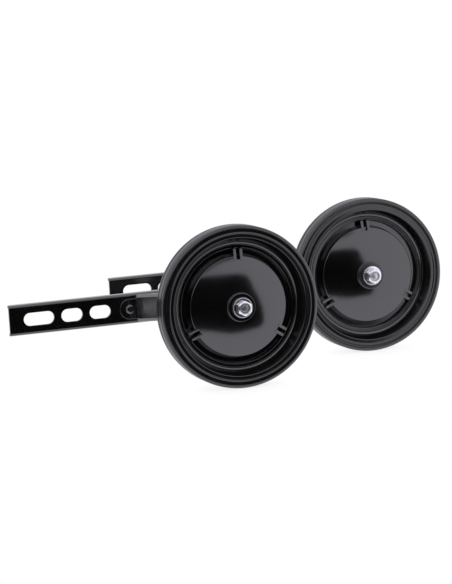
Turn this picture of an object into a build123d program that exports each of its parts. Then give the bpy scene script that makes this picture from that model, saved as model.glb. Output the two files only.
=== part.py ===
from build123d import *
import math
import os

# A pair of bicycle training wheels. Each unit is a stamped channel arm with three axle slots, a folded
# brace, and a moulded disc wheel with a rubber tyre that turns on a sleeve under a flange nut.
# Frame: +X along the arms from the slotted end to the wheel, -Y outboard, +Z up, millimetres.
# Origin: the front arm's outer face, midway between its two short slots.

# Arm: stamped channel, flanges turned inboard
arm_width = 22.4
arm_sheet = 1.8
arm_depth = 7.0
arm_bend_radius = 2.1
arm_corner_radius = 3.5
arm_tail = 12.0

# Slots for the bicycle's rear axle
slot_width = 9.6
slot_end_margin = 10.8
long_slot_length = 23.1
short_slot_length = 16.2
slot_bridge = 5.4

# Wheel settings on the arm
slots_to_brace_bolt = 14.1
brace_bolt_to_axle = 69.3
setting_step = 36.0

# Brace: folded strut from the arm's outer face to the axle
brace_sheet = 2.0
brace_width = 20.6
brace_depth = 6.0
brace_bend_radius = 2.8
brace_fold_radius = 2.0
tongue_width = 15.0
tongue_fold = 5.5
pad_fold = 14.0
arm_clearance = 0.4

# Brace bolt with a flat round head and a square neck
bolt_dia = 4.0
bolt_neck_width = 4.4
bolt_head_dia = 7.0
bolt_head_height = 2.2
bolt_head_flat_dia = 4.2
bolt_nut_flats = 7.0
bolt_nut_height = 3.2
bolt_hole_clearance = 0.2
bolt_end_length = 1.2

# Axle bolt and its stack
axle_dia = 6.0
axle_hole_clearance = 0.2
axle_head_flats = 10.0
axle_head_height = 5.0
axle_flange_dia = 14.2
axle_flange_thickness = 1.2
thread_clearance = 0.03
spacer_dia = 12.0
spacer_length = 25.0
clamp_nut_flats = 10.0
clamp_nut_height = 3.6
washer_dia = 13.0
washer_thickness = 1.2
sleeve_dia = 8.0
sleeve_bore_clearance = 0.1

# Outer flange nut
nut_flats = 10.0
nut_height = 6.6
nut_flange_dia = 14.8
nut_flange_edge = 1.1
nut_flange_slope = 0.8
nut_dish_depth = 1.0
nut_corner_chamfer = 0.9
axle_end_below_nut = 0.5
axle_end_chamfer = 0.6

# Hub bushes
bush_dia = 12.0
bush_flange_dia = 15.6
bush_flange_thickness = 1.2
bush_length = 9.0
bush_seat_clearance = 0.02
running_clearance = 0.05
axial_play = 0.4

# Wheel disc, distances along the axle counted outboard from the tyre's mid plane
hub_boss_dia = 20.8
hub_outboard = 10.4
hub_inboard = 12.6
boss_height = 2.5
boss_edge_radius = 0.8
boss_foot_radius = 0.5
dome_edge_dia = 74.4
dome_edge_out = 2.5
dome_roll_radius = 1.2
disc_wall = 3.0
groove_floor_out = -4.5
groove_floor_width = 4.2
groove_wall_run = 0.8
rim_inner_dia = 85.4
rim_face_out = -0.5
rim_face_width = 2.3
rim_edge_radius = 0.8
rim_lip_out = 1.2
rim_lip_run = 1.0
rim_lip_width = 1.5
rim_lip_radius = 1.0
lock_rib_height = 2.0
lock_rib_width = 4.0
lock_rib_out = -2.5
notch_pairs = 3
notch_rib_thickness = 2.2
notch_rib_spacing = 4.9
notch_rib_start_dia = 68.0
notch_rib_rise = 0.2
notch_slot_reach = 2.6
notch_slot_depth = 1.8
back_rib_count = 6
back_rib_thickness = 2.0

# Tyre
tyre_height = 12.5
tyre_width = 16.4
tyre_seat_clearance = 0.05
tread_width = 12.8
tread_groove_width = 1.2
tread_groove_depth = 0.8
tread_groove_inset = 2.2
inner_ring_inset = 8.4
middle_ring_inset = 5.0
shoulder_inset = 0.9
ring_valley_depth = 0.5
shoulder_drop = 0.9

# Place of the rear unit, measured between the two wheel centres
pair_step_x = 141.0
pair_step_y = 100.0
front_wheel_turn = 3.3
rear_wheel_turn = 0.6

# Places worked out from the sizes above, along the arm from its slotted end
long_slot_x = slot_end_margin + long_slot_length / 2
near_slot_x = slot_end_margin + long_slot_length + slot_bridge + short_slot_length / 2
short_slot_spacing = short_slot_length + slot_bridge
far_slot_x = near_slot_x + short_slot_spacing
brace_bolt_x = far_slot_x + short_slot_length / 2 + slots_to_brace_bolt
axle_x = brace_bolt_x + brace_bolt_to_axle
arm_length = axle_x + setting_step + arm_tail
origin_x = (near_slot_x + far_slot_x) / 2

# Places along the axle, counted outboard from the arm's outer face
pad_out = spacer_length
clamp_nut_out = pad_out + brace_sheet
washer_out = clamp_nut_out + clamp_nut_height
sleeve_out = washer_out + washer_thickness
hub_back_out = sleeve_out + axial_play + bush_flange_thickness
wheel_out = hub_back_out + hub_inboard
hub_front_out = wheel_out + hub_outboard
nut_out = hub_front_out + bush_flange_thickness + axial_play
axle_end_out = nut_out + nut_height - axle_end_below_nut

# Radii of the disc and the tyre
bush_radius = bush_dia / 2
boss_radius = hub_boss_dia / 2
dome_edge_radius = dome_edge_dia / 2
rim_inner_radius = rim_inner_dia / 2
rim_face_radius = rim_inner_radius + rim_face_width
lip_start_radius = rim_face_radius + rim_lip_run
seat_radius = lip_start_radius + rim_lip_width
disc_back_out = groove_floor_out - disc_wall
tyre_radius = seat_radius + tyre_height
wheel_centre = Pos(axle_x, -wheel_out, 0)

# The dome is part of a sphere centred on the axle, through the boss's foot and the dome's edge
dome_top_out = hub_outboard - boss_height
dome_centre_out = (
    dome_edge_radius**2 - boss_radius**2 + dome_edge_out**2 - dome_top_out**2
) / (2 * (dome_edge_out - dome_top_out))
dome_radius = math.hypot(boss_radius, dome_top_out - dome_centre_out)


def at(radius, out):
    """A point of a turned profile: distance from the axle and place along it."""
    return (radius, -out)


def dome_at(radius, depth=0.0):
    """Point on the dome, or on the sphere a given depth below it."""
    rise = math.sqrt((dome_radius - depth) ** 2 - radius**2)
    return at(radius, dome_centre_out + rise)


def turned(profile):
    """Solid turned about the axle from a closed profile of points."""
    return revolve(make_face(Polyline(*profile, close=True)), Axis.Y)


def tube(out, length, outer_dia, inner_dia):
    """Plain turned tube along the axle."""
    inner = inner_dia / 2
    outer = outer_dia / 2
    return turned([at(inner, out), at(outer, out), at(outer, out + length), at(inner, out + length)])


def rod(out, length, dia):
    """Plain round rod along the axle."""
    return through(Circle(dia / 2), out, length)


def hexagon(out, length, flats):
    """Hexagonal prism along the axle, with a corner up."""
    outline = RegularPolygon(flats / 2, 6, major_radius=False, rotation=90)
    return extrude(Plane.XZ.offset(out) * outline, length)


def through(sketch, out, length):
    """Prism of a sketch that lies in the arm's face, from a place along the axle."""
    return extrude(Plane.XZ.offset(out) * sketch, length)


def round_corners(face, corners, radius):
    """Rounds the corners of a flat face that lie nearest to the given points."""
    nearest = [face.vertices().sort_by_distance(corner)[0] for corner in corners]
    return fillet(nearest, radius)


def make_arm():
    """Channel with its web outboard, three axle slots, and holes for both wheel settings."""
    section = channel_section(arm_width, arm_depth, arm_sheet, arm_bend_radius)
    arm = extrude(Plane.YZ * section, arm_length)
    flange_ends = arm.edges().filter_by(Axis.Z).group_by(Axis.Y)[-1]
    arm = fillet(flange_ends, arm_corner_radius)
    openings = Pos(long_slot_x, 0) * SlotOverall(long_slot_length, slot_width)
    openings += Pos(near_slot_x, 0) * SlotOverall(short_slot_length, slot_width)
    openings += Pos(far_slot_x, 0) * SlotOverall(short_slot_length, slot_width)
    for setting in (0, setting_step):
        openings += Pos(brace_bolt_x + setting, 0) * Circle(bolt_dia / 2 + bolt_hole_clearance)
        openings += Pos(axle_x + setting, 0) * Circle(axle_dia / 2 + axle_hole_clearance)
    return arm - through(openings, -arm_depth, 2 * arm_depth)


def make_brace():
    """Folded strut: a tongue on the arm, a sloping channel, and a round pad square to the axle."""
    fold_x = brace_bolt_x + tongue_fold
    pad_x = axle_x - pad_fold
    slope = math.atan2(pad_out, pad_x - fold_x)
    lead = brace_sheet * math.tan(slope / 2)
    start_x = brace_bolt_x - tongue_width
    end_x = axle_x + brace_width
    side = make_face(Polyline(
        (start_x, 0), (fold_x, 0), (pad_x, -pad_out), (end_x, -pad_out),
        (end_x, -pad_out - brace_sheet), (pad_x - lead, -pad_out - brace_sheet),
        (fold_x - lead, -brace_sheet), (start_x, -brace_sheet), close=True))
    inside_folds = [(fold_x - lead, -brace_sheet), (pad_x, -pad_out)]
    outside_folds = [(fold_x, 0), (pad_x - lead, -pad_out - brace_sheet)]
    side = round_corners(side, inside_folds, brace_fold_radius)
    side = round_corners(side, outside_folds, brace_fold_radius + brace_sheet)
    strip = extrude(side, brace_width / 2, both=True)
    straight = Rectangle(axle_x - brace_bolt_x, tongue_width, align=(Align.MIN, Align.CENTER))
    outline = Pos(brace_bolt_x, 0) * (Circle(tongue_width / 2) + straight)
    outline += Pos(axle_x, 0) * Circle(brace_width / 2)
    brace = strip & through(outline, -brace_sheet, pad_out + 3 * brace_sheet)

    along = Vector(math.cos(slope), -math.sin(slope), 0)
    inboard = Vector(math.sin(slope), math.cos(slope), 0)
    channel_end = Vector(pad_x, -pad_out, 0) - along * brace_fold_radius
    channel_plane = Plane(origin=channel_end - inboard * brace_sheet, x_dir=inboard, z_dir=-along)
    section = channel_section(brace_width, brace_depth, brace_sheet, brace_bend_radius)
    channel = extrude(channel_plane * section, pad_x - fold_x + pad_out)
    room_align = (Align.MIN, Align.MAX, Align.CENTER)
    room = Box(pad_x - fold_x + lead, pad_out + brace_depth, brace_width, align=room_align)
    brace += channel & (Pos(fold_x - lead, -arm_clearance, 0) * room)

    axle_hole = Pos(axle_x, 0) * Circle(axle_dia / 2 + axle_hole_clearance)
    brace -= through(axle_hole, 0, pad_out + 2 * brace_sheet)
    neck_width = bolt_neck_width + 2 * bolt_hole_clearance
    neck_hole = Pos(brace_bolt_x, 0) * Rectangle(neck_width, neck_width)
    return brace - through(neck_hole, -brace_sheet, 3 * brace_sheet)


def channel_section(width, depth, sheet, bend_radius):
    """Section of a folded channel: web along local Y at local X from 0, flanges towards local +X."""
    outer = Rectangle(depth, width, align=(Align.MIN, Align.CENTER))
    outer = round_corners(outer, [(0, -width / 2), (0, width / 2)], bend_radius)
    inner_width = width - 2 * sheet
    inner = Rectangle(depth, inner_width, align=(Align.MIN, Align.CENTER))
    inner = round_corners(inner, [(0, -inner_width / 2), (0, inner_width / 2)], bend_radius - sheet)
    return outer - Pos(sheet, 0) * inner


def make_brace_bolt():
    """Bolt with a flat round head, a square neck in the brace and a round shank through the arm."""
    head_radius = bolt_head_dia / 2
    flat_radius = bolt_head_flat_dia / 2
    top = brace_sheet + bolt_head_height
    lean = math.sqrt(0.5)
    shoulder = at(
        flat_radius + (head_radius - flat_radius) * lean, brace_sheet + bolt_head_height * lean)
    head = make_face([
        Line(at(0, brace_sheet), at(head_radius, brace_sheet)),
        ThreePointArc(at(head_radius, brace_sheet), shoulder, at(flat_radius, top)),
        Polyline(at(flat_radius, top), at(0, top), at(0, brace_sheet)),
    ])
    shank_length = arm_sheet + bolt_nut_height + bolt_end_length
    bolt = revolve(head, Axis.Y)
    bolt += through(Rectangle(bolt_neck_width, bolt_neck_width), 0, brace_sheet)
    bolt += rod(-shank_length, shank_length, bolt_dia)
    return Pos(brace_bolt_x, 0, 0) * bolt


def make_brace_nut():
    """Plain hexagon nut behind the arm's web."""
    nut = chamfered_hexagon(-arm_sheet - bolt_nut_height, bolt_nut_height, bolt_nut_flats)
    bore = rod(-arm_sheet - bolt_nut_height, bolt_nut_height, bolt_dia + 2 * thread_clearance)
    return Pos(brace_bolt_x, 0, 0) * (nut - bore)


def chamfered_hexagon(out, length, flats):
    """Hexagon nut blank with both ends turned back to a circle."""
    corner = flats / math.sqrt(3)
    face = flats / 2
    drop = (corner - face) * math.tan(math.radians(30))
    end = out + length
    envelope = turned([
        at(0, out), at(face, out), at(corner, out + drop),
        at(corner, end - drop), at(face, end), at(0, end)])
    return hexagon(out, length, flats) & envelope


def make_axle_bolt():
    """Flanged hexagon bolt from inside the arm's channel to the outer nut."""
    head_out = -arm_sheet - axle_head_height
    head = hexagon(head_out, axle_head_height, axle_head_flats)
    flange_out = -arm_sheet - axle_flange_thickness
    head += rod(flange_out, axle_flange_thickness, axle_flange_dia)
    radius = axle_dia / 2
    shank = turned([
        at(0, -arm_sheet), at(radius, -arm_sheet), at(radius, axle_end_out - axle_end_chamfer),
        at(radius - axle_end_chamfer, axle_end_out), at(0, axle_end_out)])
    return Pos(axle_x, 0, 0) * (head + shank)


def make_spacer():
    """Tube that holds the brace's pad away from the arm."""
    return Pos(axle_x, 0, 0) * tube(0, spacer_length, spacer_dia, axle_dia + 2 * axle_hole_clearance)


def make_clamp_nut():
    """Thin nut that clamps arm, spacer and brace on the axle bolt."""
    nut = chamfered_hexagon(clamp_nut_out, clamp_nut_height, clamp_nut_flats)
    bore = rod(clamp_nut_out, clamp_nut_height, axle_dia + 2 * thread_clearance)
    return Pos(axle_x, 0, 0) * (nut - bore)


def make_washer():
    """Thrust washer between the clamp nut and the wheel's inner bush."""
    bore = axle_dia + 2 * axle_hole_clearance
    return Pos(axle_x, 0, 0) * tube(washer_out, washer_thickness, washer_dia, bore)


def make_sleeve():
    """Bearing sleeve clamped between the washer and the outer nut."""
    bore = axle_dia + 2 * sleeve_bore_clearance
    return Pos(axle_x, 0, 0) * tube(sleeve_out, nut_out - sleeve_out, sleeve_dia, bore)


def make_flange_nut():
    """Hexagon nut with a coned flange and a dished top."""
    flange_radius = nut_flange_dia / 2
    corner = nut_flats / math.sqrt(3)
    cone_out = nut_out + nut_flange_edge
    flange = turned([
        at(0, nut_out), at(flange_radius, nut_out), at(flange_radius, cone_out),
        at(nut_flats / 2, cone_out + nut_flange_slope), at(0, cone_out + nut_flange_slope)])
    top = nut_out + nut_height
    envelope = turned([
        at(0, nut_out), at(corner, nut_out), at(corner, top - nut_corner_chamfer),
        at(nut_flats / 2 - nut_corner_chamfer / 2, top), at(0, top)])
    nut = flange + (hexagon(nut_out, nut_height, nut_flats) & envelope)
    bore_radius = axle_dia / 2 + thread_clearance
    dish = turned([
        at(0, top - nut_dish_depth), at(bore_radius, top - nut_dish_depth),
        at(bore_radius + nut_dish_depth, top), at(0, top)])
    bore = rod(nut_out, nut_height, 2 * bore_radius)
    return Pos(axle_x, 0, 0) * (nut - bore - dish)


def make_bush(side):
    """Flanged bush; side is 1 for the outboard end of the hub and -1 for the inboard end."""
    outer = bush_radius - bush_seat_clearance
    inner = sleeve_dia / 2 + running_clearance
    face = hub_outboard if side > 0 else -hub_inboard
    flange = face + side * bush_flange_thickness
    inside = face - side * bush_length
    bush = turned([
        at(inner, flange), at(bush_flange_dia / 2, flange), at(bush_flange_dia / 2, face),
        at(outer, face), at(outer, inside), at(inner, inside)])
    return wheel_centre * bush


def make_disc(wheel_turn):
    """Moulded wheel disc: hub, dome, groove with paired ribs, rim with a locking rib, and back ribs."""
    groove_inner = dome_edge_radius + groove_wall_run
    groove_outer = groove_inner + groove_floor_width
    back_shoulder = dome_edge_radius - disc_wall + groove_wall_run
    lock_low = lock_rib_out - lock_rib_width / 2
    lock_high = lock_rib_out + lock_rib_width / 2
    lock_radius = seat_radius + lock_rib_height
    middle = (boss_radius + dome_edge_radius) / 2
    back_middle = (boss_radius + back_shoulder) / 2
    front = Polyline(
        at(bush_radius, hub_outboard), at(boss_radius, hub_outboard), dome_at(boss_radius))
    dome = ThreePointArc(dome_at(boss_radius), dome_at(middle), dome_at(dome_edge_radius))
    rim = Polyline(
        dome_at(dome_edge_radius), at(groove_inner, groove_floor_out),
        at(groove_outer, groove_floor_out), at(rim_inner_radius, rim_face_out),
        at(rim_face_radius, rim_face_out), at(lip_start_radius, rim_lip_out),
        at(seat_radius, rim_lip_out), at(seat_radius, lock_high),
        at(lock_radius, lock_high), at(lock_radius, lock_low),
        at(seat_radius, lock_low), at(seat_radius, disc_back_out), at(back_shoulder, disc_back_out),
        dome_at(back_shoulder, disc_wall))
    back = ThreePointArc(
        dome_at(back_shoulder, disc_wall), dome_at(back_middle, disc_wall),
        dome_at(boss_radius, disc_wall))
    hub = Polyline(
        dome_at(boss_radius, disc_wall), at(boss_radius, -hub_inboard), at(bush_radius, -hub_inboard),
        at(bush_radius, hub_outboard))
    profile = make_face([front, dome, rim, back, hub])
    profile = round_corners(profile, [at(boss_radius, hub_outboard)], boss_edge_radius)
    profile = round_corners(profile, [dome_at(boss_radius)], boss_foot_radius)
    profile = round_corners(profile, [dome_at(dome_edge_radius)], dome_roll_radius)
    profile = round_corners(profile, [at(rim_inner_radius, rim_face_out)], rim_edge_radius)
    profile = round_corners(profile, [at(lip_start_radius, rim_lip_out)], rim_lip_radius)
    disc = revolve(profile, Axis.Y)
    for index in range(notch_pairs):
        turn = Rot(0, 360 / notch_pairs * index, 0)
        disc -= turn * make_notch_slot(groove_inner)
        for side in (-1, 1):
            disc += turn * Pos(side * notch_rib_spacing / 2, 0, 0) * make_notch_rib(groove_outer)
    back_rib = make_back_rib(back_shoulder)
    for index in range(back_rib_count):
        disc += Rot(0, 360 / back_rib_count * index, 0) * back_rib
    return wheel_centre * Rot(0, wheel_turn, 0) * disc


def make_notch_slot(groove_inner):
    """Flat pocket in the dome's edge, open to the groove, that a pair of ribs leaves between them."""
    start = dome_edge_radius - notch_slot_reach
    slot_align = (Align.CENTER, Align.MIN, Align.MIN)
    height = notch_slot_depth + dome_edge_out
    slot = Box(notch_rib_spacing, height, groove_inner - start, align=slot_align)
    return Pos(0, dome_at(start)[1] - dome_edge_out, start) * slot


def make_notch_rib(groove_outer):
    """Thin rib across the groove; its top stands a little proud of the dome and keeps the dome's slope."""
    start = notch_rib_start_dia / 2
    end = groove_outer + (rim_inner_radius - groove_outer) / 2
    top = notch_rib_rise - dome_at(start)[1]
    fall = (end - start) * math.tan(math.asin(start / dome_radius))
    floor = groove_floor_out - disc_wall / 2
    panel = make_face(Polyline(
        at(start, top), at(end, top - fall), at(end, floor), at(start, floor), close=True))
    return Rot(0, -90, 0) * extrude(panel, notch_rib_thickness / 2, both=True)


def make_back_rib(back_shoulder):
    """Radial rib behind the dome, from the hub to the rim."""
    inner = (bush_radius + boss_radius) / 2
    outer = back_shoulder + disc_wall / 2
    depth = disc_wall / 2
    middle = (inner + outer) / 2
    panel = make_face([
        ThreePointArc(dome_at(inner, depth), dome_at(middle, depth), dome_at(outer, depth)),
        Polyline(
            dome_at(outer, depth), at(outer, disc_back_out),
            at(inner, disc_back_out), dome_at(inner, depth)),
    ])
    return extrude(panel, back_rib_thickness / 2, both=True)


def make_tyre():
    """Solid rubber tyre: ringed sidewalls, a grooved tread and a groove over the locking rib."""
    seat = seat_radius + tyre_seat_clearance
    lock = seat_radius + lock_rib_height + tyre_seat_clearance
    lock_low = lock_rib_out - lock_rib_width / 2 - tyre_seat_clearance
    lock_high = lock_rib_out + lock_rib_width / 2 + tyre_seat_clearance
    outer_side = tyre_sidewall(1, rim_lip_out)
    inner_side = tyre_sidewall(-1, -disc_back_out)
    bore = Polyline(
        at(seat, disc_back_out), at(seat, lock_low), at(lock, lock_low), at(lock, lock_high),
        at(seat, lock_high), at(seat, rim_lip_out))
    profile = make_face([bore] + outer_side + [tread_line()] + inner_side)
    return wheel_centre * revolve(profile, Axis.Y)


def tyre_sidewall(side, bead):
    """Curves of one sidewall from the bead to the tread: two round rings and a round shoulder."""
    half = tyre_width / 2
    seat = seat_radius + tyre_seat_clearance
    inner_ring = tyre_radius - inner_ring_inset
    middle_ring = tyre_radius - middle_ring_inset
    shoulder = tyre_radius - shoulder_inset
    ring_gap = (middle_ring - inner_ring) / 2
    valley = half - ring_valley_depth
    first = at(inner_ring - ring_gap, side * valley)
    second = at(inner_ring + ring_gap, side * valley)
    third = at(middle_ring + ring_gap, side * (valley - shoulder_drop / 2))
    return [
        Line(at(seat, side * bead), first),
        ThreePointArc(first, at(inner_ring, side * half), second),
        ThreePointArc(second, at(middle_ring, side * (half - shoulder_drop / 3)), third),
        ThreePointArc(
            third, at(shoulder, side * (half - shoulder_drop)), at(tyre_radius, side * tread_width / 2)),
    ]


def tread_line():
    """Flat tread with one narrow groove near each shoulder."""
    half = tread_width / 2
    outer = half - tread_groove_inset
    inner = outer - tread_groove_width
    floor = tyre_radius - tread_groove_depth
    return Polyline(
        at(tyre_radius, half), at(tyre_radius, outer), at(floor, outer), at(floor, inner),
        at(tyre_radius, inner), at(tyre_radius, -inner), at(floor, -inner), at(floor, -outer),
        at(tyre_radius, -outer), at(tyre_radius, -half))


def make_unit(wheel_turn):
    """Pieces that sit on the arm, and pieces that move with the wheel setting."""
    fixed = {"arm": make_arm()}
    set_pieces = {
        "brace": make_brace(),
        "brace_bolt": make_brace_bolt(),
        "brace_nut": make_brace_nut(),
        "axle_bolt": make_axle_bolt(),
        "spacer": make_spacer(),
        "clamp_nut": make_clamp_nut(),
        "washer": make_washer(),
        "sleeve": make_sleeve(),
        "inner_bush": make_bush(-1),
        "outer_bush": make_bush(1),
        "wheel_disc": make_disc(wheel_turn),
        "tyre": make_tyre(),
        "flange_nut": make_flange_nut(),
    }
    return fixed, set_pieces


os.makedirs("parts", exist_ok=True)
front_place = Pos(-origin_x, 0, 0)
rear_place = Pos(-origin_x + pair_step_x - setting_step, pair_step_y, 0)
for unit, place, setting, wheel_turn in (
        ("front", front_place, 0, front_wheel_turn),
        ("rear", rear_place, setting_step, rear_wheel_turn)):
    fixed_pieces, set_pieces = make_unit(wheel_turn)
    for name, piece in fixed_pieces.items():
        export_step(place * piece, f"parts/{unit}_{name}.step")
    for name, piece in set_pieces.items():
        export_step(place * Pos(setting, 0, 0) * piece, f"parts/{unit}_{name}.step")
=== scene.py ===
import math

import bmesh
import bpy
from mathutils import Matrix, Vector


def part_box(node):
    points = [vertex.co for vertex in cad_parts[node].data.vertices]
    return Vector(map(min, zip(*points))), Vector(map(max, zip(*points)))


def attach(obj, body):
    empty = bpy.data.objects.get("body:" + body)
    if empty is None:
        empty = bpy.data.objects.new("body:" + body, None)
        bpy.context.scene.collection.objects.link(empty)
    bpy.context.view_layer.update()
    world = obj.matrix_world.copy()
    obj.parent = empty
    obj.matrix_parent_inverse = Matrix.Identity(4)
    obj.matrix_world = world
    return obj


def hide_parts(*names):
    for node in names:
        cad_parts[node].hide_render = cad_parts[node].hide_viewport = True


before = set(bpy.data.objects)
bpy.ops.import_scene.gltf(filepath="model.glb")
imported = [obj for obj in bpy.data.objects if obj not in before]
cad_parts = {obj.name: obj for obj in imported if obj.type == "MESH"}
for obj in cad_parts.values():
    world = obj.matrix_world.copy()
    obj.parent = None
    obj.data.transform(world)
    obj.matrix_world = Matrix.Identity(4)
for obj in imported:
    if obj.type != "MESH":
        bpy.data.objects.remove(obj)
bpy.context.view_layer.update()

MM = 0.001
AXLE_LINE = (0, 1, 0)

# Sizes of one unit in millimetres. Along the arm, x runs from its slotted end. Along the axle, out is
# counted outboard from the arm's outer face, and for the wheel from the tyre's mid plane.

# Arm: stamped channel with three axle slots and two settings of the wheel
ARM_WIDTH, ARM_DEPTH, ARM_SHEET, ARM_BEND, ARM_CORNER, ARM_TAIL = 22.4, 7.0, 1.8, 2.1, 3.5, 12.0
SLOT_WIDTH, SLOT_MARGIN, LONG_SLOT, SHORT_SLOT, SLOT_BRIDGE = 9.6, 10.8, 23.1, 16.2, 5.4
SLOTS_TO_BOLT, BOLT_TO_AXLE, SETTING = 14.1, 69.3, 36.0
BOLT_HOLE, AXLE_HOLE = 2.2, 3.2
LONG_X = SLOT_MARGIN + LONG_SLOT / 2
NEAR_X = SLOT_MARGIN + LONG_SLOT + SLOT_BRIDGE + SHORT_SLOT / 2
FAR_X = NEAR_X + SHORT_SLOT + SLOT_BRIDGE
BOLT_X = FAR_X + SHORT_SLOT / 2 + SLOTS_TO_BOLT
AXLE_X = BOLT_X + BOLT_TO_AXLE
ARM_LENGTH = AXLE_X + SETTING + ARM_TAIL

# Brace: a tongue on the arm, a sloping channel, and a pad square to the axle
BRACE_WIDTH, BRACE_DEPTH, BRACE_SHEET, BRACE_BEND, ARM_GAP = 20.6, 6.0, 2.0, 2.8, 0.4
TONGUE_HALF, TONGUE_FOLD, PAD_FOLD, PAD_OUT, FOLD_RADIUS = 7.5, 5.5, 14.0, 25.0, 2.0
FOLD_X, PAD_X = BOLT_X + TONGUE_FOLD, AXLE_X - PAD_FOLD

# Brace bolt with a flat round head, and its nut
BOLT_R, BOLT_TIP, BOLT_PITCH, BOLT_VEE, BOLT_TURNS = 2.0, 1.2, 0.7, 0.3, 6
BOLT_HEAD, BOLT_HEAD_R, BOLT_HEAD_SIDE, BOLT_FLAT_R, BOLT_ROUND = 2.2, 3.5, 0.6, 2.1, (2.97, 1.75)
BOLT_NUT, BOLT_NUT_FLATS, BOLT_NUT_BORE = 3.2, 7.0, 1.9

# Axle bolt, and what sits on it in order outboard
AXLE_R, AXLE_ROOT, AXLE_STEP, AXLE_TIP_R, AXLE_CHAMFER = 3.0, 2.65, 0.4, 2.3, 0.9
AXLE_PITCH, AXLE_VEE, AXLE_TURNS = 1.0, 0.4, 3
AXLE_FLATS, AXLE_HEAD, AXLE_FLANGE_R, AXLE_FLANGE = 10.0, 5.0, 7.1, 1.2
SPACER_R = 6.0
CLAMP_NUT, CLAMP_BORE = 3.6, 2.8
WASHER, WASHER_R = 1.2, 6.5
SLEEVE_R, SLEEVE_BORE, PLAY = 4.0, 3.1, 0.4
BUSH_BORE, BUSH_R, BUSH_LENGTH, BUSH_FLANGE_R, BUSH_FLANGE = 4.05, 5.98, 9.0, 7.8, 1.2
HUB_BORE, HUB_FRONT, HUB_BACK = 6.0, 10.4, 12.6
NUT_HEIGHT, NUT_FLATS, NUT_FLANGE_R, NUT_FLANGE_EDGE, NUT_FLANGE = 6.6, 10.0, 7.4, 1.25, 1.4
NUT_FOOT, NUT_LIP, NUT_DISH_RUN, NUT_DISH = 0.9, 0.4, 0.7, 1.3
END_BELOW_NUT, END_THREAD = 0.5, 3.9
CLAMP_OUT = PAD_OUT + BRACE_SHEET
WASHER_OUT = CLAMP_OUT + CLAMP_NUT
SLEEVE_OUT = WASHER_OUT + WASHER
WHEEL_OUT = SLEEVE_OUT + PLAY + BUSH_FLANGE + HUB_BACK
NUT_OUT = WHEEL_OUT + HUB_FRONT + BUSH_FLANGE + PLAY
AXLE_END = NUT_OUT + NUT_HEIGHT - END_BELOW_NUT

# Wheel disc: a dome round the hub boss, a deep groove, a stepped rim, and a rib that locks the tyre
BOSS, BOSS_HEIGHT = 10.4, 2.5
DOME_EDGE, DOME_EDGE_OUT, DOME_ROLL = 37.2, 2.5, 1.2
DISC_WALL, DISC_BACK = 3.0, -7.5
GROOVE_IN, GROOVE_OUT, GROOVE_FLOOR = 38.0, 42.2, -4.5
RIM_IN, RIM_FACE, RIM_LIP, SEAT = 42.7, -0.5, 1.2, 47.5
RIM_STEP, RIM_RISE = (45.3, -0.4), (46.2, 0.8)
LOCK_RIB, LOCK_FRONT, LOCK_BACK = 2.0, -0.5, -4.5

# The dome is part of a sphere centred on the axle, through the boss's foot and the dome's edge
DOME_TOP = HUB_FRONT - BOSS_HEIGHT
DOME_CENTRE = (DOME_EDGE**2 - BOSS**2 + DOME_EDGE_OUT**2 - DOME_TOP**2) / (2 * (DOME_EDGE_OUT - DOME_TOP))
DOME_RADIUS = math.hypot(BOSS, DOME_TOP - DOME_CENTRE)

# Pairs of ribs across the groove with a pocket between them, and the ribs behind the dome
NOTCH_PAIRS, NOTCH_RIB, NOTCH_STEP, NOTCH_START, NOTCH_RISE = 3, 2.2, 4.9, 34.0, 0.2
NOTCH_REACH, NOTCH_DEPTH, NOTCH_ROOT = 2.6, 1.8, 1.5
BACK_RIBS, BACK_RIB, BACK_RIB_END = 6, 2.0, 36.5
NOTCH_END = (GROOVE_OUT + RIM_IN) / 2
NOTCH_SLOT = DOME_EDGE - NOTCH_REACH
WHEEL_TURN = {"front": 3.3, "rear": 0.6}

# Tyre: its sidewall's corners are radius, out and rounding
TYRE_R, TYRE_FIT = 60.0, 0.05
SIDEWALL = (
    (51.0, 7.9, 0.5), (53.7, 7.7, 0.25), (54.1, 8.05, 0.25), (54.6, 8.05, 0.25), (55.0, 7.65, 0.25))
SHOULDER_START, SHOULDER_MIDDLE, TREAD_EDGE = (56.6, 7.75), (59.0, 7.35), 6.3
TREAD_GROOVE_FAR, TREAD_GROOVE_NEAR, TREAD_DEPTH = 4.2, 3.0, 0.8


def points_in(geom):
    return [part for part in geom if isinstance(part, bmesh.types.BMVert)]


def edges_in(geom):
    return [part for part in geom if isinstance(part, bmesh.types.BMEdge)]


def everything(bm):
    return bm.verts[:] + bm.edges[:] + bm.faces[:]


def about_axle(degrees):
    return Matrix.Rotation(math.radians(degrees), 4, "Y")


def step(bm, tip, place):
    """Draws an edge from a point to a new place and returns the point there."""
    point = bmesh.ops.extrude_vert_indiv(bm, verts=[tip])["verts"][0]
    point.co = place
    return point


def swing(bm, tip, centre, axis, angle, steps):
    """Draws an arc of edges from a point round a centre and returns the arc's last point."""
    made = bmesh.ops.spin(bm, geom=[tip], cent=centre, axis=axis, angle=angle, steps=steps)
    return points_in(made["geom_last"])[0]


def soften(bm, geom, offset, segments, affect="EDGES"):
    """Rounds edges, or the corners of a flat outline."""
    bmesh.ops.bevel(
        bm, geom=geom, offset=offset, segments=segments, profile=0.5, affect=affect, material=-1)


def trim(bm, place, slope, closed=True):
    """Cuts away what lies beyond a plane, and closes the cut of a solid shape."""
    made = bmesh.ops.bisect_plane(
        bm, geom=everything(bm), dist=1e-5, plane_co=place, plane_no=slope, clear_outer=True)
    cut = edges_in(made["geom_cut"])
    if closed and len(cut) > 2:
        bmesh.ops.edgeloop_fill(bm, edges=cut)


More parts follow.
